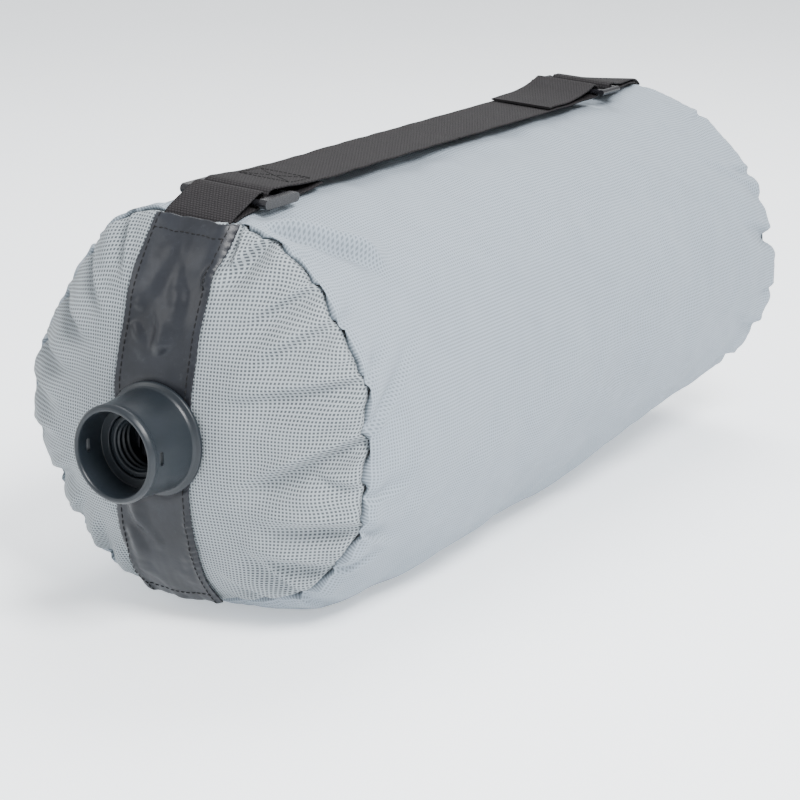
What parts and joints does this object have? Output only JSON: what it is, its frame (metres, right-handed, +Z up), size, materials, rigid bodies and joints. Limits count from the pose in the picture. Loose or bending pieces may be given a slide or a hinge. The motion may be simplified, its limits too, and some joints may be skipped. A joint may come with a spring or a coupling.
{
  "type": "sander dust collection bag",
  "caption": "Stuffed cylindrical fabric dust bag lying on its side, with a hose connector through one domed end, a webbing carry strap along the top and a zipper across the other end.",
  "frame": {"origin": "on the floor under the middle of the bounding box", "axes": "+Z up; the bag's long axis along Y, hose connector facing -Y, zipper end towards +Y; strap along the top"},
  "size_m": [0.282, 0.697, 0.2869],
  "materials": {
    "nonwoven_fabric": "square-dot embossed, matt",
    "binding_tape": "woven, matt",
    "vinyl": "smooth coated cloth, semi-gloss",
    "black_plastic": "moulded, satin",
    "gasket_rubber": "matt",
    "webbing": "coarse plain weave",
    "dark_plastic": "moulded, satin",
    "zipper_tape": "fine twill",
    "zipper_coil": "nylon coil",
    "zipper_metal": "plated die-cast"
  },
  "bodies": {
    "bag": {"tube_panel": "nonwoven_fabric", "tube_seam_tape": "binding_tape", "front_cap_panel": "nonwoven_fabric", "rear_cap_upper_panel": "nonwoven_fabric", "rear_cap_lower_panel": "nonwoven_fabric", "front_rim_binding": "binding_tape", "rear_rim_binding": "binding_tape", "vinyl_reinforcement_strip": "vinyl", "connector_socket": "black_plastic", "connector_lock_ring": "black_plastic", "connector_gasket": "gasket_rubber", "front_anchor_webbing": "webbing", "front_slider": "dark_plastic", "strap_front": "webbing", "strap_rear": "webbing", "rear_ring": "dark_plastic", "rear_anchor_webbing": "webbing", "zipper_tape_upper": "zipper_tape", "zipper_tape_lower": "zipper_tape", "zipper_coil_upper": "zipper_coil", "zipper_coil_lower": "zipper_coil", "zipper_stop_left": "zipper_metal", "zipper_stop_right": "zipper_metal"},
    "strap_handle": {"strap_grip": "webbing"},
    "zipper_runner": {"zipper_slider": "zipper_metal"},
    "zipper_pull": {"zipper_pull_tab": "zipper_metal"}
  },
  "joints": [
    {"name": "strap_lift", "type": "slide", "parent": "bag", "child": "strap_handle", "axis": [0, 0, 1], "range_m": [0, 0.05]},
    {"name": "zipper_slide", "type": "hinge", "parent": "bag", "child": "zipper_runner", "pos_m": [0, 0.0897, 0.154], "axis": [0, 0, -1], "range_deg": [0, 50]},
    {"name": "pull_tab_swing", "type": "hinge", "parent": "zipper_runner", "child": "zipper_pull", "pos_m": [-0.11036, 0.32636, 0.15437], "axis": [0.0425, -0.091, 0.9949], "range_deg": [0, 160]}
  ]
}
